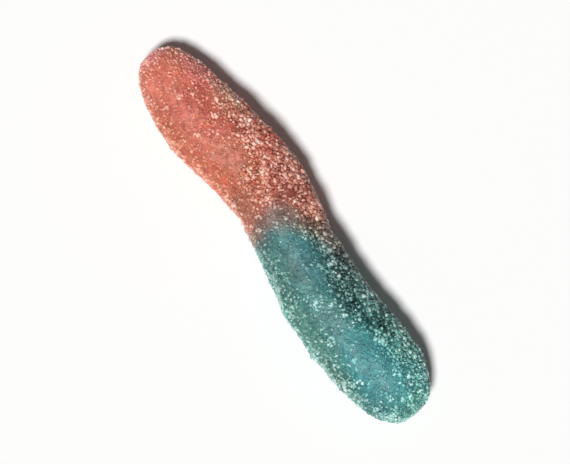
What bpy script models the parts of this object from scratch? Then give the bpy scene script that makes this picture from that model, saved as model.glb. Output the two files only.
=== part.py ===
"""Sour-sanded two-colour gummy worm at real size, in metres with +Z up.

The worm lies on the flat spot of its underside at Z = 0, its red end towards -X and its
blue end towards +X.  Its outline is a soft S seen from above, with a shallow waist where
the two colours meet, a long tapered red tip and a blunt blue one.  One skin is swept
along the worm, and the largest sugar grains are fused to it by a single union.
"""

import math

import bmesh
import bpy
import numpy as np
from mathutils import Matrix, Vector

# Driving sizes
LENGTH = 0.0550
HEIGHT = 0.0090
RED_WIDTH = 0.0109
BLUE_WIDTH = 0.0110

# Rounded ends: how far each taper reaches, and the exponent of its superellipse
RED_TIP_REACH = 0.0198
RED_TIP_POWER = 2.75
BLUE_TIP_REACH = 0.0124
BLUE_TIP_POWER = 2.7

# Waist where the two colours meet
WAIST_X = -0.0008
WAIST_REACH = 0.0075
WAIST_DEPTH = 0.104

# Two opposite bows make the S of the centre line, on a line that leans a little
RED_BOW_X = -0.0064
RED_BOW_REACH = 0.0058
RED_BOW_OFFSET = 0.0017
BLUE_BOW_X = 0.0117
BLUE_BOW_REACH = 0.0050
BLUE_BOW_OFFSET = -0.00066
LINE_OFFSET = -0.00034
LINE_LEAN = -0.00063

# Cross-section: a round back over a shallower belly, which the floor cuts flat
NOSE_HEIGHT = 0.0039
BELLY_DEPTH = 0.0047
SECTION_POWER = 2.2

# Soft unevenness of the skin, as waves that run in random directions
RELIEF_HEIGHT = 0.00007
RELIEF_WAVES = 14
RELIEF_SHORTEST = 0.0032
RELIEF_LONGEST = 0.0090
RELIEF_SEED = 7

# Skin mesh
STATIONS = 56
AROUND = 38
PROFILE_SAMPLES = 4000

# Sugar grains: the largest ones, from their shortest to their longest edge
GRAIN_COUNT = 250
GRAIN_SMALLEST = 0.00050
GRAIN_LARGEST = 0.00085
GRAIN_STRETCH = (1.0, 0.82, 0.66)
GRAIN_CORNER_WANDER = 0.16
GRAIN_SUNK = 0.12
GRAIN_SPACING = 0.00155
GRAIN_FLOOR_GAP = 0.0009
GRAIN_TIP_GAP = 0.0003
GRAIN_SEED = 23
GRAIN_TRIES = 60000

SHARP_ANGLE = math.radians(30)


def clear_scene():
    """Remove every object of the open scene."""
    for thing in list(bpy.data.objects):
        bpy.data.objects.remove(thing, do_unlink=True)


def tip_taper(distance, reach, power):
    """Share of the full section at a distance from a tip: a superellipse over the reach."""
    inward = np.clip((reach - distance) / reach, 0, 1)
    return (1 - inward**power) ** (1 / power)


def bump(x, place, reach):
    """Bell curve of height 1 at a place along the worm."""
    return np.exp(-0.5 * ((x - place) / reach) ** 2)


def section_share(x):
    """Size of the section at x against the full section, from tip to tip."""
    red = tip_taper(x + LENGTH / 2, RED_TIP_REACH, RED_TIP_POWER)
    blue = tip_taper(LENGTH / 2 - x, BLUE_TIP_REACH, BLUE_TIP_POWER)
    return red * blue * (1 - WAIST_DEPTH * bump(x, WAIST_X, WAIST_REACH))


def half_width(x):
    """Half of the worm's width, which grows from the red lobe to the blue one."""
    towards_blue = 0.5 - 0.5 * np.cos(math.pi * np.clip(2 * x / LENGTH + 0.5, 0, 1))
    return section_share(x) * (RED_WIDTH + (BLUE_WIDTH - RED_WIDTH) * towards_blue) / 2


def centre_line(x):
    """Sideways place of the section's middle."""
    bows = RED_BOW_OFFSET * bump(x, RED_BOW_X, RED_BOW_REACH)
    bows += BLUE_BOW_OFFSET * bump(x, BLUE_BOW_X, BLUE_BOW_REACH)
    return bows + LINE_OFFSET + LINE_LEAN * x / LENGTH


def relief(x, angle):
    """Height of the soft unevenness, a sum of waves over the skin's unrolled surface."""
    draw = np.random.default_rng(RELIEF_SEED)
    total = np.zeros(np.broadcast(x, angle).shape)
    across = half_width(x)
    for _ in range(RELIEF_WAVES):
        wave = 2 * math.pi / draw.uniform(RELIEF_SHORTEST, RELIEF_LONGEST)
        heading, phase = draw.uniform(0, 2 * math.pi, 2)
        sideways = np.cos(angle) * math.sin(heading) + np.sin(angle) * math.cos(2 * heading)
        total += np.sin(wave * (x * math.cos(heading) + across * sideways) + phase)
    return RELIEF_HEIGHT * total / math.sqrt(RELIEF_WAVES / 2)


def signed_power(value, power):
    """Power of a value's size that keeps its sign."""
    return np.sign(value) * np.abs(value) ** power


def skin(x, angle):
    """Points of the skin at places along the worm and angles round its section."""
    share = section_share(x)
    across = half_width(x) * signed_power(np.cos(angle), 2 / SECTION_POWER)
    upright = signed_power(np.sin(angle), 2 / SECTION_POWER)
    depth = np.where(upright > 0, HEIGHT - NOSE_HEIGHT, BELLY_DEPTH)
    swell = 1 + relief(x, angle) / (HEIGHT - NOSE_HEIGHT)
    y = centre_line(x) + across * swell
    z = NOSE_HEIGHT + depth * share * upright * swell
    x = np.broadcast_to(x, y.shape)
    return np.stack([x, y, np.maximum(z, 0)], axis=-1)


def station_places():
    """Places of the sections between the tips, evenly spaced along the side's outline."""
    x = LENGTH / 2 * np.cos(np.linspace(math.pi, 0, PROFILE_SAMPLES))
    step = np.hypot(np.diff(x), np.diff(half_width(x)))
    run = np.concatenate([[0], np.cumsum(step)])
    return np.interp(np.linspace(0, run[-1], STATIONS + 2)[1:-1], run, x)


def tip_point(side):
    """Pole of one end, at -1 for the red end and 1 for the blue end."""
    x = side * LENGTH / 2
    return np.array([x, centre_line(x), NOSE_HEIGHT])


def make_body():
    """Swept skin of the worm, closed at both tips."""
    angles = np.linspace(0, 2 * math.pi, AROUND, endpoint=False)
    rings = skin(station_places()[:, None], angles[None, :])
    vertices = [tuple(point) for point in rings.reshape(-1, 3)]
    red_pole = len(vertices)
    blue_pole = red_pole + 1
    vertices += [tuple(tip_point(-1)), tuple(tip_point(1))]
    faces = []
    last = (STATIONS - 1) * AROUND
    for k in range(AROUND):
        following = (k + 1) % AROUND
        for ring in range(STATIONS - 1):
            near, far = ring * AROUND, (ring + 1) * AROUND
            faces.append((near + k, near + following, far + following, far + k))
        faces.append((red_pole, following, k))
        faces.append((blue_pole, last + k, last + following))
    mesh = bpy.data.meshes.new("gummy_worm")
    mesh.from_pydata(vertices, [], faces)
    body = bpy.data.objects.new("gummy_worm", mesh)
    bpy.context.scene.collection.objects.link(body)
    return body


def grain_places(draw):
    """Spots for the grains with their outward directions, spread evenly over the skin."""
    nudge = 0.0001
    span = LENGTH - 2 * GRAIN_TIP_GAP
    x = draw.uniform(-span / 2, span / 2, GRAIN_TRIES)
    angle = draw.uniform(0, 2 * math.pi, GRAIN_TRIES)
    spots = skin(x, angle)
    along = skin(x + nudge, angle) - spots
    round_it = skin(x, angle + nudge / HEIGHT) - spots
    outward = np.cross(round_it, along)
    stretch = np.linalg.norm(outward, axis=1)
    outward /= np.maximum(stretch, 1e-30)[:, None]
    keep = draw.uniform(0, np.quantile(stretch, 0.99), GRAIN_TRIES) < stretch
    keep &= spots[:, 2] > GRAIN_FLOOR_GAP
    chosen, directions = [], []
    for spot, direction in zip(spots[keep], outward[keep]):
        if len(chosen) == GRAIN_COUNT:
            break
        if chosen and np.min(np.sum((np.array(chosen) - spot) ** 2, axis=1)) < GRAIN_SPACING**2:
            continue
        chosen.append(spot)
        directions.append(direction)
    return chosen, directions


def make_grain(name, spot, direction, draw):
    """One irregular block of sugar, partly sunk in the skin and turned at random."""
    size = GRAIN_SMALLEST + (GRAIN_LARGEST - GRAIN_SMALLEST) * draw.uniform() ** 1.6
    turn = Vector(direction).to_track_quat("Z", "Y").to_matrix()
    tumble = Matrix.Rotation(draw.uniform(0, 2 * math.pi), 3, "Z")
    tumble = tumble @ Matrix.Rotation(draw.uniform(-0.6, 0.6), 3, "X")
    shell = bmesh.new()
    for corner in range(8):
        signs = [1 if corner >> bit & 1 else -1 for bit in range(3)]
        reach = [s * 0.5 * k for s, k in zip(signs, GRAIN_STRETCH)]
        wander = draw.uniform(-GRAIN_CORNER_WANDER, GRAIN_CORNER_WANDER, 3)
        point = Vector([(r + w) * size for r, w in zip(reach, wander)])
        lift = Vector(direction) * (-GRAIN_SUNK * size)
        shell.verts.new(Vector(spot) + lift + turn @ tumble @ point)
    bmesh.ops.convex_hull(shell, input=list(shell.verts))
    bmesh.ops.triangulate(shell, faces=list(shell.faces))
    bmesh.ops.recalc_face_normals(shell, faces=list(shell.faces))
    mesh = bpy.data.meshes.new(name)
    shell.to_mesh(mesh)
    shell.free()
    return bpy.data.objects.new(name, mesh)


def make_grains():
    """Collection of the sugar grains that are fused to the body."""
    draw = np.random.default_rng(GRAIN_SEED)
    sugar = bpy.data.collections.new("sugar_grains")
    bpy.context.scene.collection.children.link(sugar)
    spots, directions = grain_places(draw)
    for number, (spot, direction) in enumerate(zip(spots, directions)):
        sugar.objects.link(make_grain(f"grain_{number}", spot, direction, draw))
    return sugar


def fuse(body, sugar):
    """Union of the body with the whole collection, applied, then the grains removed."""
    union = body.modifiers.new("fuse_grains", "BOOLEAN")
    union.operation = "UNION"
    union.operand_type = "COLLECTION"
    union.collection = sugar
    union.solver = "MANIFOLD"
    graph = bpy.context.evaluated_depsgraph_get()
    fused = bpy.data.meshes.new_from_object(body.evaluated_get(graph))
    body.modifiers.clear()
    plain = body.data
    body.data = fused
    bpy.data.meshes.remove(plain)
    fused.name = "gummy_worm"
    for grain in list(sugar.objects):
        bpy.data.objects.remove(grain, do_unlink=True)
    bpy.data.collections.remove(sugar)


def sugared_gel():
    """Matte sugared jelly, salmon red on one half and teal blue on the other."""
    material = bpy.data.materials.new("sugared_gel")
    material.use_nodes = True
    nodes, links = material.node_tree.nodes, material.node_tree.links
    shader = nodes["Principled BSDF"]
    shader.inputs["Roughness"].default_value = 0.55
    shader.inputs["Metallic"].default_value = 0.0
    place = nodes.new("ShaderNodeTexCoord")
    split = nodes.new("ShaderNodeSeparateXYZ")
    span = nodes.new("ShaderNodeMapRange")
    span.inputs["From Min"].default_value = -LENGTH / 2
    span.inputs["From Max"].default_value = LENGTH / 2
    ramp = nodes.new("ShaderNodeValToRGB")
    ramp.color_ramp.elements[0].position = 0.47
    ramp.color_ramp.elements[0].color = (0.62, 0.20, 0.14, 1)
    ramp.color_ramp.elements[1].position = 0.57
    ramp.color_ramp.elements[1].color = (0.12, 0.31, 0.31, 1)
    links.new(place.outputs["Object"], split.inputs["Vector"])
    links.new(split.outputs["X"], span.inputs["Value"])
    links.new(span.outputs["Result"], ramp.inputs["Fac"])
    links.new(ramp.outputs["Color"], shader.inputs["Base Color"])
    return material


def main():
    """Build the worm as one named object."""
    clear_scene()
    body = make_body()
    fuse(body, make_grains())
    body.data.materials.clear()
    body.data.materials.append(sugared_gel())
    body.data.shade_smooth()
    body.data.set_sharp_from_angle(angle=SHARP_ANGLE)


main()
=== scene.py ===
"""Looks of a sour-sanded gummy worm: two-colour jelly under a crust of sugar grains.

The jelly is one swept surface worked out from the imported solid's sizes.  Sugar lies on it
in four kinds, each a joined mesh of small crystals.  All lengths are in metres, with the
worm along X, its red end at -X and its back towards +Z.
"""

import math
from collections import namedtuple

import bpy
import numpy as np
from bpy.props import FloatProperty, FloatVectorProperty, IntProperty, PointerProperty
from mathutils import Matrix, Vector


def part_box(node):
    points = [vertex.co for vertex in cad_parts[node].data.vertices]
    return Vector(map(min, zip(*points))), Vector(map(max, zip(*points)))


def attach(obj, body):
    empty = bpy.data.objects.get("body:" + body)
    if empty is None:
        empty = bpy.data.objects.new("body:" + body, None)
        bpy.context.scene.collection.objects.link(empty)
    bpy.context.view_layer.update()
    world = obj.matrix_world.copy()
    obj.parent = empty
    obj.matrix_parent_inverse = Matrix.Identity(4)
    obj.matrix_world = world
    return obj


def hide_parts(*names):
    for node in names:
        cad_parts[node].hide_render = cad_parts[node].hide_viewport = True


bl_info = {
    "name": "Sugared gummy worm",
    "version": (1, 0, 0),
    "blender": (4, 5, 0),
    "location": "3D View > Sidebar > Gummy Worm",
    "description": "Two-colour jelly worm with a sugar crust, on a pale floor",
    "category": "Object",
}

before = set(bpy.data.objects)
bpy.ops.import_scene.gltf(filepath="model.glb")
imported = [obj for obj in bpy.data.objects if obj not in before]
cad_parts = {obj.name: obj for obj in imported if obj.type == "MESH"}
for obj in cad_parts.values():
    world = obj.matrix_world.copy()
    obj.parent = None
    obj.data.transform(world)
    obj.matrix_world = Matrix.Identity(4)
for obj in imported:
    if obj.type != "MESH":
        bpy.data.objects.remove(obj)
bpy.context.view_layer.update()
NODE = "gummy_worm"
LOW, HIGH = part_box(NODE)


def length_property(name, description, default):
    """A length in metres."""
    return FloatProperty(name=name, description=description, default=default, unit="LENGTH", precision=5)


def share_property(name, description, default):
    """A share between 0 and 1."""
    return FloatProperty(
        name=name, description=description, default=default, min=0, max=1, subtype="FACTOR"
    )


def colour_property(name, description, default):
    """A linear colour."""
    return FloatVectorProperty(
        name=name, description=description, default=default, size=3, min=0, max=1, subtype="COLOR"
    )


class WormShape(bpy.types.PropertyGroup):
    """Sizes of the jelly body."""

    length: length_property("Length", "From tip to tip", HIGH.x - LOW.x)
    height: length_property("Height", "From the floor to the top of the back", 0.0090)
    red_width: length_property("Red width", "Full width of the red lobe", 0.0109)
    blue_width: length_property("Blue width", "Full width of the blue lobe", 0.0110)
    red_reach: length_property("Red taper", "Length of the red tip's taper", 0.0198)
    blue_reach: length_property("Blue taper", "Length of the blue tip's taper", 0.0124)
    nose_height: length_property("Nose height", "Height of both tips' points", 0.0039)
    belly_depth: length_property("Belly depth", "Reach of the belly below the noses", 0.0047)
    crust: length_property("Crust", "How far the jelly lies below the sugared outline", 0.00025)
    relief: length_property("Relief", "Height of the skin's soft unevenness", 0.00007)
    pebble_size: length_property("Pebbles", "Width of the bumps that half-melted sugar leaves", 0.00050)
    pebble_height: length_property("Pebble height", "Height of those bumps", 0.00009)


class WormColours(bpy.types.PropertyGroup):
    """Colours of the jelly, deep where it is bare and pale where melted sugar lies on it."""

    red_deep: colour_property("Deep red", "Bare jelly of the red half", (0.47, 0.096, 0.062))
    red_pale: colour_property("Pale red", "Sugared jelly of the red half", (0.67, 0.232, 0.163))
    blue_deep: colour_property("Deep blue", "Bare jelly of the blue half", (0.030, 0.145, 0.149))
    blue_pale: colour_property("Pale blue", "Sugared jelly of the blue half", (0.127, 0.337, 0.324))
    seam_deep: colour_property("Deep seam", "Bare jelly where the halves meet", (0.222, 0.122, 0.099))
    seam_pale: colour_property("Pale seam", "Sugared jelly where the halves meet", (0.345, 0.216, 0.174))
    red_sugar: colour_property("Red sugar", "Dry crystals of the red half", (0.98, 0.52, 0.42))
    blue_sugar: colour_property("Blue sugar", "Dry crystals of the blue half", (0.465, 0.70, 0.66))
    seam_sugar: colour_property("Seam sugar", "Dry crystals where the halves meet", (0.60, 0.46, 0.39))


class SugarCoat(bpy.types.PropertyGroup):
    """Sizes and numbers of the sugar crystals."""

    coarse_count: IntProperty(name="Coarse", description="Number of coarse crystals", default=3900)
    medium_count: IntProperty(name="Medium", description="Number of medium crystals", default=9500)
    fine_count: IntProperty(name="Fine", description="Number of fine crystals", default=16000)
    bright_count: IntProperty(name="Bright", description="Number of dry bright crystals", default=2400)
    coarse_size: length_property("Coarse size", "Length of a coarse crystal", 0.00045)
    medium_size: length_property("Medium size", "Length of a medium crystal", 0.00034)
    fine_size: length_property("Fine size", "Length of a fine crystal", 0.00021)
    bright_size: length_property("Bright size", "Length of a bright crystal", 0.00043)
    seed: IntProperty(name="Seed", description="Start of every random draw", default=41)


class Studio(bpy.types.PropertyGroup):
    """Camera and light."""

    elevation: FloatProperty(
        name="Elevation", description="Camera's angle above the floor", default=math.radians(84),
        subtype="ANGLE",
    )
    turn: FloatProperty(
        name="Turn", description="How far the worm's axis slopes down in the picture",
        default=math.radians(53.1), subtype="ANGLE",
    )
    view_width: length_property("View width", "Width of floor that the picture takes in", 0.0700)
    distance: length_property("Distance", "From the worm to the camera", 0.35)
    floor_tone: share_property("Floor", "Brightness of the floor", 0.775)
    key_power: FloatProperty(name="Key", description="Strength of the key lamp", default=3.95)
    air_power: FloatProperty(name="Surround", description="Strength of the surround", default=0.105)


# Exponents and places of the outline, and the waves of its relief
RED_TIP_POWER = 2.75
BLUE_TIP_POWER = 2.7
SECTION_POWER = 2.2
WAIST_X, WAIST_REACH, WAIST_DEPTH = -0.0008, 0.0075, 0.104
RED_BOW_X, RED_BOW_REACH, RED_BOW_OFFSET = -0.0064, 0.0058, 0.0017
BLUE_BOW_X, BLUE_BOW_REACH, BLUE_BOW_OFFSET = 0.0117, 0.0050, -0.00066
LINE_OFFSET, LINE_LEAN = -0.00034, -0.00063
RELIEF_WAVES, RELIEF_LENGTHS, RELIEF_SEED = 14, (0.0032, 0.0090), 7

# Key lamp: where it stands, how wide it looks from the worm, and its colour; then the surround
KEY_TOWARD, KEY_SPREAD, KEY_COLOUR = (0.12, -0.37, 0.92), math.radians(11.4), (0.995, 1.0, 0.985)
AIR_COLOUR, BACKDROP_COLOUR = (1.0, 0.93, 0.95), (0.91, 0.91, 0.905)

# Floor's half width and roughness, and what the camera looks at and its clipping
FLOOR_HALF, FLOOR_ROUGHNESS = 1.5, 0.8
LOOK_AT, CLIP_NEAR, CLIP_FAR = (0, 0, 0.004), 0.01, 10

# Grid of the jelly's surface, and the step along it that its normals come from
STATIONS, AROUND, PROFILE_SAMPLES, NORMAL_STEP = 400, 240, 4000, 0.00004

# How a place on the back fades out, by its distance squared in shares of the reach
PLACE_FADE = (0.1, 1.1)

# Smooth patches of the back: place and reach, and how level the skin has to be for them
SYRUP_SLOPE = (0.1, 0.5)
SYRUP_PATCHES = (
    ((-0.0220, 0.0004), (0.0088, 0.0060)),
    ((-0.0129, -0.0018), (0.0056, 0.0022)),
    ((0.0033, -0.0008), (0.0050, 0.0034)),
    ((0.0201, -0.0014), (0.0054, 0.0028)),
)

# Grainy place of the back beside the seam: place, reach and how dry it is
GRAINY_PLACE, GRAINY_REACH, GRAINY_DRYNESS = (-0.0062, 0.0008), (0.0042, 0.0026), 0.75

# Rim of the worm, by how far the skin leans from level: where it begins and is full, where it
# hangs over, and what is taken off there
RIM_RISE, RIM_HANG, RIM_HANG_LOSS = (0.5, 1.0), (0.95, 1.5), 0.6

# How dry the sugar is: at the very tips and over what distance inward that ends, between which
# distances past the middle the dry side begins, on the rims, at the least, and how patches vary
TIP_DRYNESS, TIP_FADE = 0.30, (0.0010, 0.0100)
DRY_BORDER, DRY_BORDER_RIPPLE = (-0.0006, 0.0032), 0.0009
RIM_DRYNESS, RIM_SHELTER, LEAST_DRYNESS, DRYNESS_RIPPLE, SYRUP_LOSS = 0.4, 0.35, 0.12, 0.14, 0.9

# Places of the back where bright crystals lie close together, in millimetres, and their reach.
# The crystals there are made white, partly as painted glints.
BRIGHT_CLUSTERS = (
    (13.9, -0.8, 0.6), (9.4, -2.8, 0.9), (14.0, -4.1, 0.7), (1.8, 1.2, 0.5), (4.3, 2.1, 0.6),
    (6.3, 2.4, 0.5), (7.7, 2.5, 0.5), (12.2, 3.2, 0.5), (10.5, -1.5, 0.5), (19.7, -4.7, 0.5),
    (17.4, -4.2, 0.4), (21.5, -0.1, 0.6), (17.3, 0.9, 0.6), (26.9, 1.7, 0.6), (26.3, -3.2, 0.8),
    (23.8, -2.2, 0.5), (-1.5, -0.6, 0.4), (-3.4, -1.8, 0.6), (-2.2, -3.0, 0.5), (-2.3, 3.0, 0.6),
    (-7.3, 5.9, 0.6), (-7.1, 2.0, 0.9), (-13.6, 3.6, 0.8), (-16.5, 1.1, 0.5), (-20.9, -0.7, 0.5),
    (-15.7, -1.9, 0.6), (-20.9, -3.2, 0.5),
)

# Pebbles of melted sugar: reach, start of the draws and how far above the floor they are full,
# their least height and paleness, and their height where the sugar is wet.  Then the slow ripples
# that make the coat patchy, and the number that starts each one.
PEBBLE_REACH, PEBBLE_SALT, FLOOR_FADE = 0.8, 11, 0.0012
PEBBLE_LEAST, PEBBLE_PALE_LEAST, PEBBLE_WET = 0.3, 0.4, 0.45
RIPPLE_WAVES, RIPPLE_LENGTHS, CLUMP_LENGTHS = 12, (0.0035, 0.0120), (0.0011, 0.0026)
BORDER_SALT, PATCHY_SALT, BRIGHT_SALT, CLUMP_SALT = 3, 5, 9, 21

# What turns a cell's three whole numbers and a salt into one even number of so many bits
CELL_PRIMES, SALT_FACTOR = (73856093, 19349663, 83492791), 2654435761
SCRAMBLE_FACTORS, SCRAMBLE_SHIFT, SCRAMBLE_BITS = (0xFF51AFD7ED558CCD, 0xC4CEB9FE1A85EC53), 33, 53

# Where the colours meet.  The seam is swept towards +X by a power of y past a turning place, up
# to a rise in millimetres.  It leans a little before that place, and the other way on the flanks
# below the knee.  Then how far red and blue reach into it and how much that widens with the rise,
# and between which shares of that reach red leaves and blue comes.
SEAM_X, SEAM_TURN_Y, SEAM_SWEEP, SEAM_POWER, SEAM_RISE = -0.0024, -0.0018, 0.0215, 3.4, 5.2
SEAM_LEAN, SEAM_KNEE_Z, SEAM_SLANT = 0.28, 0.0042, 0.55
SEAM_BEFORE, SEAM_AFTER, SEAM_BEFORE_WIDENING, SEAM_AFTER_WIDENING = 0.0018, 0.0022, 0.42, 0.92
RED_LEAVES, BLUE_COMES = (-1.0, 0.1), (-0.1, 1.0)

# Noises that make the seam wander and the jelly's tone drift: scale, detail and size of each,
# then the least tone
SEAM_WOBBLES = ((260.0, 2.0, 0.0016), (1500.0, 1.0, 0.0012))
TONE_DRIFTS, TONE_LEAST = ((230.0, 2.0, 0.30), (950.0, 1.0, 0.7)), 0.5

# Patches of the skin that differ from the rest: place, reach and what multiplies the colour.
# Some darken the far, +Y side: painted shade, partly deeper jelly. One is a painted reflection
# along the blue's low edge, partly cream sugar, and one is a painted pink sheen. They fade out down
# the flanks, between two heights that are lower at the tips, and colour the sugar by half.
PATCH_FADE, PATCH_TIP_DROP, PATCH_TIP_X = (0.0036, 0.0062), 0.0022, (0.0215, 0.0265)
PATCH_EDGE, PATCH_SUGAR_SHARE = (0.15, 1.0), 0.5
PATCHES = (
    ((0.0039, -0.0006), (0.0036, 0.0028), (0.93, 0.89, 0.95)),
    # Painted shade, partly deeper jelly: the blue half's darkest far side
    ((0.0116, 0.0023), (0.0077, 0.0035), (0.27, 0.34, 0.34)),
    # Painted shade, partly mauve jelly: the far side of the seam
    ((0.0046, 0.0032), (0.0060, 0.0026), (0.38, 0.45, 0.46)),
    ((0.0193, -0.0018), (0.0072, 0.0044), (0.95, 1.19, 1.26)),
    ((0.0267, -0.0004), (0.0022, 0.0048), (1.25, 1.25, 1.12)),
    # Painted shade, partly deeper jelly: the red half's far side
    ((-0.0097, 0.0044), (0.0110, 0.0030), (0.86, 0.79, 0.79)),
    ((0.0085, -0.0036), (0.0052, 0.0026), (1.08, 1.02, 1.00)),
    # Painted shade, partly deeper jelly: the far side of the blue end
    ((0.0184, 0.0028), (0.0054, 0.0028), (0.72, 0.84, 0.77)),
    ((0.0203, -0.0060), (0.0048, 0.0022), (0.84, 0.80, 0.76)),
    ((-0.0011, -0.0026), (0.0022, 0.0022), (0.84, 0.80, 0.82)),
    # Painted shade: more darkening on the far side of the seam
    ((0.0046, 0.0036), (0.0028, 0.0018), (0.74, 0.76, 0.78)),
    ((-0.0090, -0.0008), (0.0066, 0.0038), (1.00, 1.00, 0.87)),
    ((-0.0178, 0.0006), (0.0062, 0.0034), (1.08, 0.94, 0.95)),
    ((-0.0052, -0.0002), (0.0050, 0.0044), (0.82, 0.79, 0.81)),
    ((-0.0016, 0.0024), (0.0034, 0.0038), (0.83, 0.85, 0.87)),
    ((-0.0170, 0.0037), (0.0036, 0.0022), (1.16, 1.60, 1.58)),
    ((-0.0243, -0.0002), (0.0052, 0.0044), (1.17, 1.27, 1.32)),
    ((-0.0277, -0.0004), (0.0020, 0.0042), (1.18, 1.30, 1.56)),
    ((-0.0150, -0.0048), (0.0100, 0.0022), (1.04, 1.02, 0.88)),
    ((0.0010, 0.0030), (0.0024, 0.0020), (1.22, 1.22, 1.12)),
    # Painted reflection: a yellow-green cast along the blue's low edge, partly cream sugar
    ((0.0117, -0.0057), (0.0110, 0.0024), (1.12, 0.97, 0.87)),
    ((0.0142, 0.0016), (0.0036, 0.0028), (0.74, 1.06, 1.04)),
    ((0.0238, 0.0010), (0.0034, 0.0030), (1.20, 1.22, 1.20)),
    ((-0.0052, -0.0028), (0.0028, 0.0022), (0.84, 1.06, 1.06)),
    ((0.0030, -0.0033), (0.0048, 0.0024), (1.14, 0.92, 0.87)),
    # Painted shade: the far side just before the seam
    ((-0.0034, 0.0042), (0.0048, 0.0028), (0.86, 0.87, 0.88)),
    # Painted sheen: a pale pink-mauve sheen on the red's far side near the tip
    ((-0.0225, 0.0036), (0.0044, 0.0024), (1.18, 1.24, 1.46)),
)

# Inside of the jelly and of the crystals
JELLY_INSIDE = {
    "IOR": 1.38, "Subsurface Weight": 0.85, "Subsurface Radius": (1.0, 0.6, 0.5),
    "Subsurface Scale": 0.0018,
}
CRYSTAL_INSIDE = {
    "IOR": 1.50, "Subsurface Weight": 0.5, "Subsurface Radius": (1.0, 0.7, 0.6),
    "Subsurface Scale": 0.0004,
}

# Jelly's skin: what makes it pale and how much, where what dry sugar takes off is painted shade,
# how dark the gaps in dry sugar are, also painted shade between the crystals, how much of the
# sugar's colour the rims take, then the noises of its cloudiness, gloss and grain
PALE_PEBBLE, PALE_CLOUD, PALE_RIM, PALE_LOSS_TO_GAP_SHADE, PALE_LOSS = 0.8, 0.7, 0.3, 0.3, 0.2
GAP_PAINTED_SHADE, RIM_SUGAR = 0.35, 0.10
CLOUD_NOISE, GLOSS_NOISE, GRAIN_NOISE = (1300.0, 2.0, 0.6), (2600.0, 2.0), (2400.0, 3.0, 0.6)
GLOSS_LEAST, GLOSS_CHANGE, GRAIN_HEIGHT, GRAIN_STRENGTH = 0.32, 0.3, 0.00012, 0.7

# Crystals' skin: roughness and what shine takes off it, how soon dry ones turn white, and the
# near white that the whitest reach, partly white sugar and partly painted glints
CRYSTAL_ROUGHNESS, CRYSTAL_SHINE, WHITE_GAIN, SUGAR_AND_GLINT_WHITE = 0.55, 0.43, 0.6, (0.95, 0.94, 0.92)

# Unit prisms: height and width of each ring of corners
PLAIN_RINGS = ((-0.5, 1.0), (0.5, 1.0))
CHAMFERED_RINGS = ((-0.5, 0.72), (-0.34, 1.0), (0.34, 1.0), (0.5, 0.72))

# Crystals: ranges of their stretch along each axis and of their shear, their size where wet, the
# range of sizes, what the skin's area is measured by, and what numbers the cells apart
CRYSTAL_STRETCH, CRYSTAL_SHEAR = ((0.75, 0.60, 0.55), (1.05, 0.95, 1.10)), 0.3
WET_SIZE, SIZE_RANGE, AREA_QUANTILE, CELL_STRIDES = 0.82, (0.5, 1.6), 0.98, (1, 40009, 40009**2)

# Density of the crystals where the sugar has melted, and of the bright ones: everywhere, on the
# flanks, at the seam, on ripples and where the sugar is dry, and what the smooth patches take off
MELTED_DENSITY, BRIGHT_LEAST = 0.22, 0.07
BRIGHT_ON_FLANK, BRIGHT_FLANK = 0.03, (0.45, 0.95)
BRIGHT_AT_SEAM, BRIGHT_SEAM = 0.02, (-0.0012, 0.0018)
BRIGHT_ON_RIPPLE, BRIGHT_RIPPLE = 0.12, (0.2, 1.8)
BRIGHT_WHERE_DRY, BRIGHT_SYRUP_LOSS = 0.12, 0.84

# How thick the sugar lies, and between which shares of that a crystal's draw turns it white
THICK_LEAST, THICK_WHERE_DRY, THICK_ON_RIM, THICK_AT_SEAM = 0.08, 0.17, 0.10, 0.05
THICK_SEAM, THICK_CLUMP, THICK_RANGE = (-0.0006, 0.0013), 0.8, (0.1, 2)
WHITE_STEP, RIM_WHITE, DRAWN_WHITE = (2.0, 0.5), 0.07, 0.48

# White of the bright crystals that lie alone and of those in clusters, the highest partly
# painted glints
LONELY_LEAST, LONELY_CHANGE, LONELY_POWER, LONELY_WHERE_DRY = 0.5, 1.3, 3, 0.7
LONELY_SYRUP_LOSS, CLUSTER_WHITE = 0.35, 1.5

# Tint: share of its range that wet crystals use, what clumps add and the least of all
TINT_CHANGE_WET, TINT_CLUMP, TINT_CLUMP_WET, TINT_LEAST = 0.6, 0.25, 0.5, 0.1


def tip_taper(distance, reach, power):
    """Share of the full section at a distance from a tip: a superellipse over the reach."""
    inward = np.clip((reach - distance) / reach, 0, 1)
    return (1 - inward**power) ** (1 / power)


def bump(x, place, reach):
    """Bell curve of height 1 at a place along the worm."""
    return np.exp(-0.5 * ((x - place) / reach) ** 2)


def section_share(shape, x):
    """Both tips' tapers multiplied, and a bell curve taken off at the waist."""
    red = tip_taper(x + shape.length / 2, shape.red_reach, RED_TIP_POWER)
    blue = tip_taper(shape.length / 2 - x, shape.blue_reach, BLUE_TIP_POWER)
    return red * blue * (1 - WAIST_DEPTH * bump(x, WAIST_X, WAIST_REACH))


def half_width(shape, x):
    """Section share times a half width that goes from the red lobe's to the blue one's."""
    towards_blue = 0.5 - 0.5 * np.cos(math.pi * np.clip(2 * x / shape.length + 0.5, 0, 1))
    width = shape.red_width + (shape.blue_width - shape.red_width) * towards_blue
    return section_share(shape, x) * width / 2


def centre_line(shape, x):
    """Sideways place of the section's middle: two opposite bell curves on a leaning line."""
    bows = RED_BOW_OFFSET * bump(x, RED_BOW_X, RED_BOW_REACH)
    bows = bows + BLUE_BOW_OFFSET * bump(x, BLUE_BOW_X, BLUE_BOW_REACH)
    return bows + LINE_OFFSET + LINE_LEAN * x / shape.length


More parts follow.
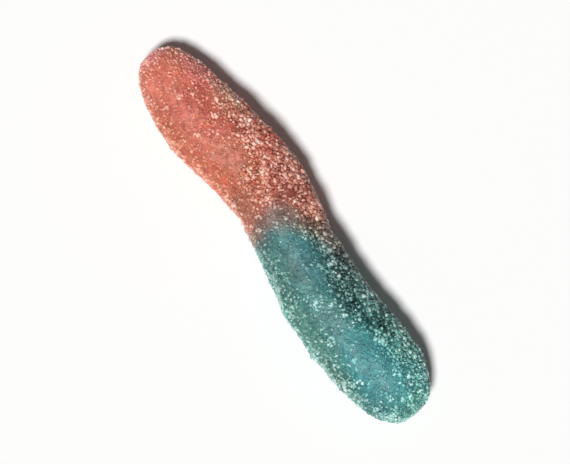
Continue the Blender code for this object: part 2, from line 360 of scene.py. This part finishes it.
def relief(shape, x, angle):
    """Soft unevenness: a sum of sine waves over the unrolled skin, in drawn directions."""
    draw = np.random.default_rng(RELIEF_SEED)
    total = np.zeros(np.broadcast(x, angle).shape)
    across = half_width(shape, x)
    for _ in range(RELIEF_WAVES):
        wave = 2 * math.pi / draw.uniform(*RELIEF_LENGTHS)
        heading, phase = draw.uniform(0, 2 * math.pi, 2)
        sideways = np.cos(angle) * math.sin(heading) + np.sin(angle) * math.cos(2 * heading)
        total += np.sin(wave * (x * math.cos(heading) + across * sideways) + phase)
    return shape.relief * total / math.sqrt(RELIEF_WAVES / 2)


def signed_power(value, power):
    """Power of a value's size that keeps its sign."""
    return np.sign(value) * np.abs(value) ** power


def outline(shape, x, angle):
    """Sugared outline at x and an angle round the section, a superellipse with a low belly.

    The section's half width and its heights above and below the nose are multiplied by
    the signed powers of the angle's cosine and sine, and the floor cuts off what is below.
    """
    share = section_share(shape, x)
    upright = signed_power(np.sin(angle), 2 / SECTION_POWER)
    back = shape.height - shape.nose_height
    swell = 1 + relief(shape, x, angle) / back
    across = half_width(shape, x) * signed_power(np.cos(angle), 2 / SECTION_POWER)
    y = centre_line(shape, x) + across * swell
    z = shape.nose_height + np.where(upright > 0, back, shape.belly_depth) * share * upright * swell
    return np.stack([np.broadcast_to(x, y.shape), y, np.maximum(z, 0)], axis=-1)


def outward(shape, x, angle):
    """Unit normals of the outline, from the cross product of two short steps on it."""
    step = NORMAL_STEP
    inner = np.clip(x, -shape.length / 2 + 2 * step, shape.length / 2 - 2 * step)
    along = outline(shape, inner + step, angle) - outline(shape, inner - step, angle)
    turn = step / shape.height
    aside = outline(shape, inner, angle + turn) - outline(shape, inner, angle - turn)
    normal = np.cross(aside, along)
    size = np.linalg.norm(normal, axis=-1, keepdims=True)
    return normal / np.maximum(size, 1e-20), size[..., 0]


def scramble(cells, salt):
    """Even numbers from 0 to 1, one for each cell: its three whole numbers mixed and shuffled."""
    mixed = (cells @ np.array(CELL_PRIMES) + salt * SALT_FACTOR).astype(np.uint64)
    for factor in SCRAMBLE_FACTORS:
        mixed = (mixed ^ (mixed >> np.uint64(SCRAMBLE_SHIFT))) * np.uint64(factor)
    return (mixed >> np.uint64(64 - SCRAMBLE_BITS)) / 2.0**SCRAMBLE_BITS


def nearest_seed(points, size, salt):
    """Distance to the nearest of one random point in every cell, and that cell's own number."""
    home = np.floor(points / size).astype(np.int64)
    best = np.full(points.shape[:-1], np.inf)
    number = np.zeros(points.shape[:-1])
    for step in np.ndindex(3, 3, 3):
        cell = home + np.array(step) - 1
        jitter = np.stack([scramble(cell, salt + axis) for axis in range(3)], axis=-1)
        away = np.linalg.norm(cell + jitter - points / size, axis=-1)
        number = np.where(away < best, scramble(cell, salt + 3), number)
        best = np.minimum(away, best)
    return best, number


def smooth_step(value, low, high):
    """0 below low, 1 above high, and an S between them."""
    t = np.clip((value - low) / (high - low), 0, 1)
    return t * t * (3 - 2 * t)


def blend(low, high, share):
    """The low value at a share of 0, the high one at 1."""
    return low + (high - low) * share


def ripple(points, salt, lengths=RIPPLE_LENGTHS):
    """Slow change from about -1 to 1 through space: a sum of sine waves in drawn directions."""
    draw = np.random.default_rng(salt)
    total = np.zeros(points.shape[:-1])
    for _ in range(RIPPLE_WAVES):
        heading = draw.normal(size=3)
        heading *= 2 * math.pi / draw.uniform(*lengths) / np.linalg.norm(heading)
        total += np.sin(points @ heading + draw.uniform(0, 2 * math.pi))
    return total / math.sqrt(RIPPLE_WAVES / 2)


def near(points, place, reach):
    """1 at a place on the back, falling smoothly to 0 at an ellipse of that reach."""
    away = ((points[..., 0] - place[0]) / reach[0]) ** 2 + ((points[..., 1] - place[1]) / reach[1]) ** 2
    return 1 - smooth_step(away, *PLACE_FADE)


def syrup(points, normals):
    """1 on the few smooth patches of the back where the sugar has melted all away."""
    share = np.zeros(points.shape[:-1])
    for place, reach in SYRUP_PATCHES:
        share = np.maximum(share, near(points, place, reach))
    return share * smooth_step(normals[..., 2], *SYRUP_SLOPE)


def rim_share(normals):
    """0 on the back, 1 where the skin stands upright, and less again where it hangs over."""
    leaning = 1 - normals[..., 2]
    return smooth_step(leaning, *RIM_RISE) * (1 - RIM_HANG_LOSS * smooth_step(leaning, *RIM_HANG))


def dryness(shape, points, normals):
    """0 where the sugar has melted to a smooth syrup, 1 where it stands up as dry crystals.

    The back is smooth up to a line beside its middle and dry past it on the +Y side, less
    so at the tips.  The rims and a grainy place by the seam are halfway, and slow ripples
    make the border patchy.
    """
    x, y, _ = np.moveaxis(points, -1, 0)
    rim = rim_share(normals)
    inland = blend(TIP_DRYNESS, 1, smooth_step(shape.length / 2 - np.abs(x), *TIP_FADE))
    past_middle = y - centre_line(shape, x) + DRY_BORDER_RIPPLE * ripple(points, BORDER_SALT)
    dry = smooth_step(past_middle, *DRY_BORDER)
    dry = np.maximum(dry, GRAINY_DRYNESS * near(points, GRAINY_PLACE, GRAINY_REACH))
    dry = np.maximum(dry * (inland * (1 - RIM_SHELTER * rim)), RIM_DRYNESS * rim * inland)
    dry = np.clip(dry + LEAST_DRYNESS + DRYNESS_RIPPLE * ripple(points, PATCHY_SALT), 0, 1)
    return dry * (1 - SYRUP_LOSS * syrup(points, normals))


def jelly_surface(shape, x, angle):
    """The outline moved in by the crust and out again by round pebbles of melted sugar.

    A pebble is a dome over the nearest random point: one minus its distance squared.  Both
    moves fade out where the worm rests on the floor.
    """
    points = outline(shape, x, angle)
    normals, _ = outward(shape, x, angle)
    away, number = nearest_seed(points, shape.pebble_size, PEBBLE_SALT)
    dome = np.clip(1 - (away / PEBBLE_REACH) ** 2, 0, 1) * blend(PEBBLE_LEAST, 1, number)
    proud = blend(PEBBLE_WET, 1, dryness(shape, points, normals))
    lifted = np.clip(points[..., 2] / FLOOR_FADE, 0, 1)
    move = (shape.pebble_height * dome * proud - shape.crust) * lifted
    moved = points + normals * move[..., None]
    moved[..., 2] = np.maximum(moved[..., 2], 0)
    return moved


def station_places(shape, count):
    """Places between the tips, evenly spaced along the side's outline."""
    x = shape.length / 2 * np.cos(np.linspace(math.pi, 0, PROFILE_SAMPLES))
    run = np.concatenate([[0], np.cumsum(np.hypot(np.diff(x), np.diff(half_width(shape, x))))])
    return np.interp(np.linspace(0, run[-1], count + 2)[1:-1], run, x)


def new_object(name, vertices, corners, sides):
    """Mesh object from arrays of points and of face corners, each face with so many sides."""
    mesh = bpy.data.meshes.new(name)
    faces = len(corners) // sides
    mesh.vertices.add(len(vertices))
    mesh.vertices.foreach_set("co", np.asarray(vertices, np.float32).ravel())
    mesh.loops.add(len(corners))
    mesh.loops.foreach_set("vertex_index", np.asarray(corners, np.int32))
    mesh.polygons.add(faces)
    mesh.polygons.foreach_set("loop_start", np.arange(faces, dtype=np.int32) * sides)
    mesh.update(calc_edges=True)
    mesh.validate()
    piece = bpy.data.objects.new(name, mesh)
    bpy.context.scene.collection.objects.link(piece)
    return piece


def tube_corners(rings, around):
    """Triangles of a closed tube of rings, with one pole before it and one after it."""
    k = np.arange(around)
    following = (k + 1) % around
    this = (np.arange(rings - 1) * around)[:, None]
    other = this + around
    sides = np.stack(
        [this + k, this + following, other + following, this + k, other + following, other + k], axis=-1
    )
    red_pole, blue_pole = rings * around, rings * around + 1
    last = (rings - 1) * around
    red_cap = np.stack([np.full(around, red_pole), following, k], axis=-1)
    blue_cap = np.stack([np.full(around, blue_pole), last + k, last + following], axis=-1)
    return np.concatenate([sides.ravel(), red_cap.ravel(), blue_cap.ravel()])


class Val:
    """A node socket that takes part in sums, so that maths reads as Python."""

    def __init__(self, tree, socket):
        self.tree, self.socket = tree, socket

    def math(self, operation, *others, clamp=False):
        """A Math node on this value and the others."""
        values = dict(enumerate([self, *others]))
        return self.tree.node("ShaderNodeMath", {"operation": operation, "use_clamp": clamp}, values)[0]

    def __add__(self, other):
        return self.math("ADD", other)

    def __sub__(self, other):
        return self.math("SUBTRACT", other)

    def __mul__(self, other):
        return self.math("MULTIPLY", other)

    def __truediv__(self, other):
        return self.math("DIVIDE", other)

    def __neg__(self):
        return self.math("MULTIPLY", -1.0)

    def __rsub__(self, other):
        return -self + other

    def __pow__(self, other):
        return self.math("POWER", other)

    def clipped(self):
        """The value kept from 0 to 1."""
        return self.math("ADD", 0.0, clamp=True)

    def bounded(self, low, high):
        """The value kept from low to high."""
        return self.math("MAXIMUM", low).math("MINIMUM", high)

    __radd__, __rmul__ = __add__, __mul__


class Outputs:
    """Outputs of a node, by number or name, as values."""

    def __init__(self, tree, node):
        self.tree, self.node = tree, node

    def __getitem__(self, key):
        return Val(self.tree, self.node.outputs[key])


class Tree:
    """A material's nodes, with short ways to add them."""

    def __init__(self, name, inside):
        self.material = bpy.data.materials.new(name)
        self.material.use_nodes = True
        self.nodes = self.material.node_tree.nodes
        self.links = self.material.node_tree.links
        for socket, value in inside.items():
            self.feed(socket, value)

    def feed(self, key, value, node=None):
        """Link a value to a socket of a node, or of the shader, or set it there."""
        socket = (node or self.nodes["Principled BSDF"]).inputs[key]
        if isinstance(value, Val):
            self.links.new(value.socket, socket)
        else:
            socket.default_value = value

    def node(self, kind, settings=(), values=()):
        """Any node: its settings first, then its sockets' values or links."""
        node = self.nodes.new(kind)
        for key, value in dict(settings).items():
            setattr(node, key, value)
        for key, value in dict(values).items():
            self.feed(key, value, node)
        return Outputs(self, node)

    def place(self):
        """Object coordinates."""
        return self.node("ShaderNodeTexCoord")["Object"]

    def xyz(self):
        """Object coordinates as three values."""
        split = self.node("ShaderNodeSeparateXYZ", {}, {"Vector": self.place()})
        return split["X"], split["Y"], split["Z"]

    def noise(self, scale, detail, roughness=0.5):
        """Fractal noise between 0 and 1."""
        values = {"Vector": self.place(), "Scale": scale, "Detail": detail, "Roughness": roughness}
        return self.node("ShaderNodeTexNoise", {}, values)["Fac"]

    def attribute(self, name):
        """A number stored on the mesh."""
        return self.node("ShaderNodeAttribute", {"attribute_name": name})["Fac"]

    def mix(self, share, first, second, way="MIX"):
        """Colour between two others."""
        first, second = self.colour(first), self.colour(second)
        settings = {"data_type": "RGBA", "blend_type": way, "clamp_factor": False}
        return self.node("ShaderNodeMix", settings, {0: share, 6: first, 7: second})[2]

    def grey(self, value):
        """A number as a grey colour."""
        return self.node("ShaderNodeCombineColor", {}, {0: value, 1: value, 2: value})[0]

    def colour(self, value):
        """A colour as a socket takes it."""
        return value if isinstance(value, Val) else (*value, 1.0)

    def smooth(self, value, low, high):
        """Smooth step from 0 at low to 1 at high."""
        settings = {"interpolation_type": "SMOOTHSTEP", "clamp": True}
        return self.node("ShaderNodeMapRange", settings, {0: value, 1: low, 2: high})[0]

    def bump(self, height, distance, strength):
        """Normal from a height."""
        values = {"Height": height, "Distance": distance, "Strength": strength}
        return self.node("ShaderNodeBump", {}, values)[0]


def seam_edge(x, y, z, bounded):
    """Distance past the seam, and how far y has risen past its turning place.

    The distance is x less the seam's place, which a power of that rise sweeps towards +X.
    Low on the flanks the seam leans the other way.
    """
    risen = bounded((y - SEAM_TURN_Y) * 1000.0, 0.0, SEAM_RISE)
    place = risen**SEAM_POWER * (SEAM_SWEEP / 1000.0) + bounded(SEAM_TURN_Y - y, 0.0, 1.0) * SEAM_LEAN
    return x - SEAM_X - place + bounded(SEAM_KNEE_Z - z, 0.0, 1.0) * SEAM_SLANT, risen * 0.001


def patch_share(tree, x, y, place, reach):
    """1 at a patch's middle, falling to 0 at its reach."""
    across = (x - place[0]) / reach[0]
    along = (y - place[1]) / reach[1]
    return 1 - tree.smooth(across * across + along * along, *PATCH_EDGE)


def worm_tones(tree, colours):
    """Deep, pale and sugar's colour at a place: red, then the seam's, then blue.

    The patches and a drift multiply the first two, and the patches the third a little.  Some
    patches are painted shade on the far side, one is a painted reflection and one is a painted sheen.
    """
    x, y, z = tree.xyz()
    wobble = sum((tree.noise(scale, detail) - 0.5) * size for scale, detail, size in SEAM_WOBBLES)
    edge, risen = seam_edge(x + wobble, y, z, Val.bounded)
    red_left = tree.smooth(edge / (risen * SEAM_BEFORE_WIDENING + SEAM_BEFORE), *RED_LEAVES)
    blue_in = tree.smooth(edge / (risen * SEAM_AFTER_WIDENING + SEAM_AFTER), *BLUE_COMES)
    tones = []
    for red, seam, blue in (
        (colours.red_deep, colours.seam_deep, colours.blue_deep),
        (colours.red_pale, colours.seam_pale, colours.blue_pale),
        (colours.red_sugar, colours.seam_sugar, colours.blue_sugar),
    ):
        tones.append(tree.mix(blue_in, tree.mix(red_left, red, seam), blue))
    drift = sum(tree.noise(scale, detail) * size for scale, detail, size in TONE_DRIFTS) + TONE_LEAST
    deep, pale, sugar = tones
    drop = tree.smooth(x.math("ABSOLUTE"), *PATCH_TIP_X) * PATCH_TIP_DROP
    upper = tree.smooth(z + drop, *PATCH_FADE)
    for place, reach, factor in PATCHES:
        share = patch_share(tree, x, y, place, reach) * upper
        deep, pale = [tree.mix(share, tone, factor, "MULTIPLY") for tone in (deep, pale)]
        sugar = tree.mix(share * PATCH_SUGAR_SHARE, sugar, factor, "MULTIPLY")
    deep, pale = [tree.mix(1.0, tone, tree.grey(drift), "MULTIPLY") for tone in (deep, pale)]
    return deep, pale, sugar


def jelly_material(colours):
    """Moist translucent jelly, paler on its pebbles and mottled, with a fine syrupy relief and painted
    shade in the gaps of the dry sugar.
    """
    tree = Tree("jelly", JELLY_INSIDE)
    deep, pale, sugar = worm_tones(tree, colours)
    pebble, dry, rim = [tree.attribute(name) for name in ("pebble", "dry", "rim")]
    share = pebble * PALE_PEBBLE + tree.noise(*CLOUD_NOISE) * PALE_CLOUD - PALE_LOSS
    # Dry sugar takes paleness off the jelly and darkens its gaps towards black: painted shade between
    # the crystals
    share = share - dry * PALE_LOSS_TO_GAP_SHADE + rim * PALE_RIM
    gaps = tree.mix(dry * GAP_PAINTED_SHADE, deep, (0.0, 0.0, 0.0))
    tone = tree.mix(share.clipped(), gaps, pale)
    tree.feed("Base Color", tree.mix(rim * RIM_SUGAR, tone, sugar))
    tree.feed("Roughness", tree.noise(*GLOSS_NOISE) * GLOSS_CHANGE + GLOSS_LEAST)
    tree.feed("Normal", tree.bump(tree.noise(*GRAIN_NOISE), GRAIN_HEIGHT, GRAIN_STRENGTH))
    return tree.material


def sugar_material(colours, name):
    """Sugar crystals steeped in the jelly's colour, a few of them dry, and the whitest near white,
    partly painted glints.
    """
    tree = Tree(name, CRYSTAL_INSIDE)
    deep, pale, sugar = worm_tones(tree, colours)
    steeped = tree.mix(tree.attribute("tint"), deep, pale)
    white = tree.attribute("white")
    dried = tree.mix(white.clipped(), steeped, sugar)
    # The whitest go towards near white: partly white sugar, partly painted glints
    whitest_and_glint = (white * WHITE_GAIN - WHITE_GAIN).clipped()
    tree.feed("Base Color", tree.mix(whitest_and_glint, dried, SUGAR_AND_GLINT_WHITE))
    tree.feed("Roughness", CRYSTAL_ROUGHNESS - tree.attribute("shine") * CRYSTAL_SHINE)
    return tree.material


def crystal_template(sides, chamfered):
    """Corners and triangles of a unit prism, with its ends drawn in when chamfered.

    Rings of corners stand at fixed heights and widths, closed by a fan at either end.
    """
    levels = CHAMFERED_RINGS if chamfered else PLAIN_RINGS
    turn = 2 * math.pi * (np.arange(sides) + 0.5) / sides
    rings = [
        np.stack([0.5 * size * np.cos(turn), 0.5 * size * np.sin(turn), np.full(sides, height)], axis=-1)
        for height, size in levels
    ]
    k = np.arange(sides)
    following = (k + 1) % sides
    faces = []
    for ring in range(len(levels) - 1):
        low, high = ring * sides, (ring + 1) * sides
        faces.append(np.stack([low + k, low + following, high + following], axis=-1))
        faces.append(np.stack([low + k, high + following, high + k], axis=-1))
    top = (len(levels) - 1) * sides
    fan = np.arange(1, sides - 1)
    faces.append(np.stack([np.zeros_like(fan), fan + 1, fan], axis=-1))
    faces.append(np.stack([np.full_like(fan, top), top + fan, top + fan + 1], axis=-1))
    return np.concatenate(rings), np.concatenate(faces)


def random_turns(draw, count):
    """Evenly drawn rotation matrices, from unit quaternions."""
    q = draw.normal(size=(count, 4))
    q /= np.linalg.norm(q, axis=1, keepdims=True)
    w, x, y, z = q.T
    rows = [
        [1 - 2 * (y * y + z * z), 2 * (x * y - z * w), 2 * (x * z + y * w)],
        [2 * (x * y + z * w), 1 - 2 * (x * x + z * z), 2 * (y * z - x * w)],
        [2 * (x * z - y * w), 2 * (y * z + x * w), 1 - 2 * (x * x + y * y)],
    ]
    return np.moveaxis(np.array(rows), -1, 0)


def spread_places(shape, draw, kind, count):
    """Random places on the outline, by area times a density, at most one in each cell."""
    tries = count * kind.tries
    x = draw.uniform(-0.5, 0.5, tries) * shape.length
    angle = draw.uniform(0, 2 * math.pi, tries)
    points = outline(shape, x, angle)
    normals, area = outward(shape, x, angle)
    share = area / np.quantile(area, AREA_QUANTILE) * kind.density(shape, points, normals)
    keep = np.flatnonzero(draw.uniform(0, 1, tries) < share)
    cells = np.floor(points / kind.apart).astype(np.int64) @ np.array(CELL_STRIDES)
    _, first = np.unique(cells[keep], return_index=True)
    chosen = keep[np.sort(first)][:count]
    return points[chosen], normals[chosen]


def grain_cloud(draw, points, normals, sizes, kind, sunk):
    """Crystals as one set of arrays: a prism, sheared, stretched and turned for each place."""
    template, faces = crystal_template(kind.sides, kind.chamfered)
    count = len(points)
    stretch = draw.uniform(*CRYSTAL_STRETCH, (count, 3))
    shapes = template[None] * stretch[:, None] * sizes[:, None, None]
    shear = draw.uniform(-CRYSTAL_SHEAR, CRYSTAL_SHEAR, (count, 1, 2))
    shapes[..., :2] += shear * shapes[..., 2:]
    turned = np.einsum("nij,nvj->nvi", random_turns(draw, count), shapes)
    placed = turned + (points - normals * (sunk * sizes)[:, None])[:, None]
    corners = faces[None] + (np.arange(count) * len(template))[:, None, None]
    return placed, corners


def write_numbers(piece, name, values):
    """Store one number for each point of a piece."""
    layer = piece.data.attributes.new(name, "FLOAT", "POINT")
    layer.data.foreach_set("value", values.astype(np.float32).ravel())


def even_density(shape, points, normals):
    """Fewer crystals where the sugar has melted."""
    return blend(MELTED_DENSITY, 1, dryness(shape, points, normals))


def cluster_share(points, normals):
    """1 in the middle of each cluster of bright crystals on the back."""
    share = np.zeros(points.shape[:-1])
    for x, y, reach in np.array(BRIGHT_CLUSTERS) / 1000:
        share = np.maximum(share, near(points, (x, y), (reach, reach)))
    return share * (normals[..., 2] > 0)


def bright_density(shape, points, normals):
    """Thin everywhere, thicker on both flanks, at the seam and on ripples, full in each cluster."""
    flank = smooth_step(np.abs(normals[..., 1]), *BRIGHT_FLANK)
    edge, _ = seam_edge(*points.T, np.clip)
    share = BRIGHT_LEAST + BRIGHT_ON_FLANK * flank + BRIGHT_AT_SEAM * bump(edge, *BRIGHT_SEAM)
    share += BRIGHT_ON_RIPPLE * smooth_step(ripple(points, BRIGHT_SALT), *BRIGHT_RIPPLE)
    share += BRIGHT_WHERE_DRY * dryness(shape, points, normals)
    share *= 1 - BRIGHT_SYRUP_LOSS * syrup(points, normals)
    return np.maximum(share, cluster_share(points, normals))


# Kinds of crystal: sides of the prism and whether its ends are chamfered, spread of the sizes,
# least space between two, how deep one is sunk where wet and where dry, range of its tint, how
# white and shiny it may be, tries for each place, density over the skin and salt of its draws
Kind = namedtuple("Kind", "name sides chamfered spread apart sunk tint white shine tries density salt")
KINDS = (
    Kind(
        name="sugar_fine", sides=4, chamfered=False, spread=0.25, apart=0.00011, sunk=(0.42, 0.20),
        tint=(0.20, 0.80), white=0.0, shine=0.5, tries=14, density=even_density, salt=1,
    ),
    Kind(
        name="sugar_medium", sides=6, chamfered=False, spread=0.25, apart=0.00025, sunk=(0.38, 0.05),
        tint=(0.20, 1.10), white=0.0, shine=0.8, tries=14, density=even_density, salt=2,
    ),
    Kind(
        name="sugar_coarse", sides=6, chamfered=True, spread=0.20, apart=0.00040, sunk=(0.34, -0.05),
        tint=(0.30, 1.40), white=0.0, shine=0.8, tries=14, density=even_density, salt=3,
    ),
    Kind(
        name="sugar_bright", sides=6, chamfered=True, spread=0.34, apart=0.00036, sunk=(0.20, -0.05),
        tint=(0.80, 1.40), white=0.5, shine=1.0, tries=90, density=bright_density, salt=4,
    ),
)


def white_share(draw, points, normals, dry, clump):
    """How white each crystal is: a drawn step, more often reached where sugar lies thick."""
    edge, _ = seam_edge(*points.T, np.clip)
    rim = rim_share(normals)
    thick = THICK_LEAST + THICK_WHERE_DRY * dry + THICK_ON_RIM * rim
    thick = thick + THICK_AT_SEAM * bump(edge, *THICK_SEAM)
    thick *= np.clip(1 + THICK_CLUMP * clump, *THICK_RANGE)
    begins, full = [1 - part * thick for part in WHITE_STEP]
    drawn = draw.uniform(0, 1, len(points))
    return RIM_WHITE * rim + DRAWN_WHITE * smooth_step(drawn, begins, full)


def dry_and_glint_white(draw, kind, points, normals, dry):
    """White of a dry kind, mostly low and now and then high, and high in each cluster; the highest is
    partly painted glint.
    """
    drawn = LONELY_LEAST + LONELY_CHANGE * draw.uniform(0, 1, len(points)) ** LONELY_POWER
    drawn = (drawn + LONELY_WHERE_DRY * dry) * (1 - LONELY_SYRUP_LOSS * syrup(points, normals))
    return kind.white * np.maximum(drawn, CLUSTER_WHITE * cluster_share(points, normals))


def sugar_piece(context, kind, count, size):
    """One kind of crystal all over the worm, above the floor."""
    scene = context.scene
    shape = scene.worm_shape
    draw = np.random.default_rng(scene.sugar_coat.seed + kind.salt)
    points, normals = spread_places(shape, draw, kind, count)
    dry = dryness(shape, points, normals)
    sizes = size * np.exp(draw.normal(0, kind.spread, len(points))) * blend(WET_SIZE, 1, dry)
    sizes = np.clip(sizes, *(size * np.array(SIZE_RANGE)))
    sunk = blend(*kind.sunk, dry)
    placed, corners = grain_cloud(draw, points - normals * shape.crust / 2, normals, sizes, kind, sunk)
    lift = np.maximum(-placed[..., 2].min(axis=1), 0)
    placed[..., 2] += lift[:, None]
    piece = new_object(kind.name, placed.reshape(-1, 3), corners.ravel(), 3)
    clump = ripple(points, CLUMP_SALT, CLUMP_LENGTHS)
    white = dry_and_glint_white(draw, kind, points, normals, dry)
    white += white_share(draw, points, normals, dry, clump)
    strayed = draw.uniform(-0.5, 0.5, len(points)) * blend(TINT_CHANGE_WET, 1, dry)
    tint = np.mean(kind.tint) + strayed * np.ptp(kind.tint) + TINT_CLUMP * clump * (TINT_CLUMP_WET + dry)
    shine = draw.uniform(0, kind.shine, len(points))
    for name, values in (("tint", np.maximum(tint, TINT_LEAST)), ("white", white), ("shine", shine)):
        write_numbers(piece, name, np.repeat(values, placed.shape[1]))
    piece.data.materials.append(sugar_material(scene.worm_colours, kind.name))
    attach(piece, "root")
    return piece


class WORM_OT_jelly(bpy.types.Operator):
    """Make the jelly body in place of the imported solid"""

    bl_idname = "worm.jelly"
    bl_label = "Jelly body"

    def execute(self, context):
        shape = context.scene.worm_shape
        angles = np.linspace(0, 2 * math.pi, AROUND, endpoint=False)
        x = station_places(shape, STATIONS)[:, None]
        rings = jelly_surface(shape, x, angles[None, :])
        tips = shape.length / 2 * np.array([-1, 1])
        inset = tips * (1 - 2 * shape.crust / shape.length)
        poles = np.stack([inset, centre_line(shape, tips), np.full(2, shape.nose_height)], axis=-1)
        vertices = np.concatenate([rings.reshape(-1, 3), poles])
        piece = new_object("jelly_body", vertices, tube_corners(STATIONS, AROUND), 3)
        piece.data.shade_smooth()
        away, number = nearest_seed(vertices, shape.pebble_size, PEBBLE_SALT)
        paleness = np.clip(1 - away / PEBBLE_REACH, 0, 1) * blend(PEBBLE_PALE_LEAST, 1, number)
        write_numbers(piece, "pebble", paleness)
        normals = np.concatenate([outward(shape, x, angles)[0].reshape(-1, 3), [[-1, 0, 0], [1, 0, 0]]])
        write_numbers(piece, "dry", dryness(shape, vertices, normals))
        write_numbers(piece, "rim", rim_share(normals))
        piece.data.materials.append(jelly_material(context.scene.worm_colours))
        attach(piece, "root")
        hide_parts(NODE)
        return {"FINISHED"}


class WORM_OT_sugar(bpy.types.Operator):
    """Spread the four kinds of sugar crystals over the jelly"""

    bl_idname = "worm.sugar"
    bl_label = "Sugar coat"

    def execute(self, context):
        coat = context.scene.sugar_coat
        counts = (coat.fine_count, coat.medium_count, coat.coarse_count, coat.bright_count)
        sizes = (coat.fine_size, coat.medium_size, coat.coarse_size, coat.bright_size)
        for kind, count, size in zip(KINDS, counts, sizes):
            sugar_piece(context, kind, count, size)
        return {"FINISHED"}


class WORM_OT_stage(bpy.types.Operator):
    """Make the floor, the lamps and the camera"""

    bl_idname = "worm.stage"
    bl_label = "Stage"

    def execute(self, context):
        studio = context.scene.worm_studio
        make_floor(studio)
        make_lamps(context.scene, studio)
        make_camera(context.scene, studio)
        return {"FINISHED"}


def make_floor(studio):
    """Pale matte floor, one flat square wide enough to fill every view."""
    x, y = np.meshgrid((-FLOOR_HALF, FLOOR_HALF), (-FLOOR_HALF, FLOOR_HALF))
    vertices = np.stack([x.ravel(), y.ravel(), np.zeros(4)], axis=-1)
    floor = new_object("floor", vertices, np.array([0, 1, 3, 2]), 4)
    tone = (studio.floor_tone,) * 3
    tree = Tree("pale_floor", {"Base Color": (*tone, 1), "Roughness": FLOOR_ROUGHNESS})
    floor.data.materials.append(tree.material)


def make_lamps(scene, studio):
    """A soft key lamp on the lower left of the picture and an even pale surround.

    What the camera sees of the surround is as bright as the floor.
    """
    data = bpy.data.lights.new("key", "SUN")
    data.energy, data.angle, data.color = studio.key_power, KEY_SPREAD, KEY_COLOUR
    lamp = bpy.data.objects.new("key", data)
    lamp.matrix_world = Vector(KEY_TOWARD).to_track_quat("Z", "Y").to_matrix().to_4x4()
    scene.collection.objects.link(lamp)
    world = bpy.data.worlds.new("studio_air")
    scene.world = world
    world.use_nodes = True
    nodes, links = world.node_tree.nodes, world.node_tree.links
    air = nodes["Background"]
    air.inputs["Color"].default_value = (*AIR_COLOUR, 1)
    air.inputs["Strength"].default_value = studio.air_power
    seen = nodes.new("ShaderNodeBackground")
    seen.inputs["Color"].default_value = (*BACKDROP_COLOUR, 1)
    blend = nodes.new("ShaderNodeMixShader")
    links.new(nodes.new("ShaderNodeLightPath").outputs["Is Camera Ray"], blend.inputs[0])
    links.new(air.outputs[0], blend.inputs[1])
    links.new(seen.outputs[0], blend.inputs[2])
    links.new(blend.outputs[0], nodes["World Output"].inputs[0])
    scene.view_settings.view_transform = "Standard"


def make_camera(scene, studio):
    """Long lens that looks down, turned so that the worm slopes down to the right."""
    data = bpy.data.cameras.new("camera")
    data.lens = data.sensor_width * studio.distance / studio.view_width
    data.clip_start, data.clip_end = CLIP_NEAR, CLIP_FAR
    camera = bpy.data.objects.new("camera", data)
    scene.collection.objects.link(camera)
    tilt = math.pi / 2 - studio.elevation
    lean = Matrix.Rotation(tilt, 4, "X")
    turn = Matrix.Rotation(studio.turn, 4, "Z")
    back = lean @ Vector((0, 0, studio.distance))
    camera.matrix_world = Matrix.Translation(Vector(LOOK_AT) + back) @ lean @ turn
    scene.camera = camera


class WORM_PT_panel(bpy.types.Panel):
    """Sizes, colours and steps of the worm"""

    bl_idname = "WORM_PT_panel"
    bl_label = "Gummy Worm"
    bl_space_type = "VIEW_3D"
    bl_region_type = "UI"
    bl_category = "Gummy Worm"

    def draw(self, context):
        for group in (name for name, _ in GROUPS):
            settings = getattr(context.scene, group)
            box = self.layout.box()
            for name in settings.__annotations__:
                box.prop(settings, name)
        for step in STEPS:
            self.layout.operator(step.bl_idname)


GROUPS = (
    ("worm_shape", WormShape),
    ("worm_colours", WormColours),
    ("sugar_coat", SugarCoat),
    ("worm_studio", Studio),
)
STEPS = (WORM_OT_jelly, WORM_OT_sugar, WORM_OT_stage)


def register():
    """Add the settings, the steps and the panel."""
    for name, group in GROUPS:
        bpy.utils.register_class(group)
        setattr(bpy.types.Scene, name, PointerProperty(type=group))
    for step in (*STEPS, WORM_PT_panel):
        bpy.utils.register_class(step)


def unregister():
    """Remove what register added."""
    for step in (WORM_PT_panel, *reversed(STEPS)):
        bpy.utils.unregister_class(step)
    for name, group in reversed(GROUPS):
        delattr(bpy.types.Scene, name)
        bpy.utils.unregister_class(group)


def main():
    """Build everything in order."""
    register()
    bpy.ops.worm.jelly()
    bpy.ops.worm.sugar()
    bpy.ops.worm.stage()


if __name__ == "__main__":
    main()
